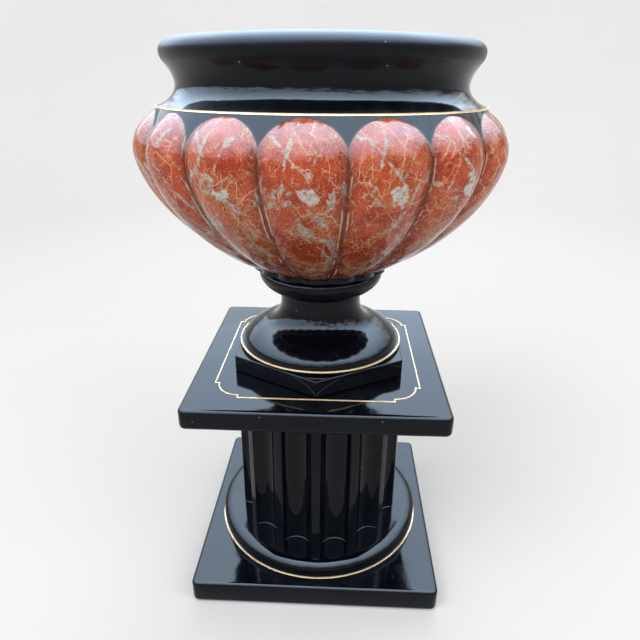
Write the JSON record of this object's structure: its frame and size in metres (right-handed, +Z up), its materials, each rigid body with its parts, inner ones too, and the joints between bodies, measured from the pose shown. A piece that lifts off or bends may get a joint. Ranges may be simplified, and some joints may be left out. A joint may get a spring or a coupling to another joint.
{
  "type": "urn cachepot on fluted pedestal",
  "caption": "Gadrooned urn with flared neck and hexagonal plinth, standing loose on a square-plated fluted pedestal.",
  "frame": {"origin": "centre of the underside of the base plate, on the floor", "axes": "+Z up, the plates' front side faces -Y and a corner of the hexagonal plinth points to -Y"},
  "size_m": [0.4056, 0.4056, 0.6484],
  "materials": {
    "black_glaze": "glossy black glaze with fine pinholes and a slight waviness",
    "red_marble_glaze": "glossy red marbled glaze with cream and grey veins",
    "fired_gold": "thin fired gold line, pale and slightly worn"
  },
  "bodies": {
    "pedestal": {"base_plate": "black_glaze", "base_moulding": "black_glaze", "base_gold_line": "fired_gold", "fluted_shaft": "black_glaze", "top_plate": "black_glaze", "top_plate_gold_frame": "fired_gold"},
    "urn": {"hex_plinth": "black_glaze", "bell_foot": "black_glaze", "foot_gold_line": "fired_gold", "stem_collar": "black_glaze", "gadrooned_bowl": "red_marble_glaze", "shoulder_gold_line": "fired_gold", "neck_and_rim": "black_glaze"}
  },
  "joints": [
    {"name": "urn_lift", "type": "slide", "parent": "pedestal", "child": "urn", "axis": [0, 0, 1], "range_m": [0, 0.1]}
  ]
}
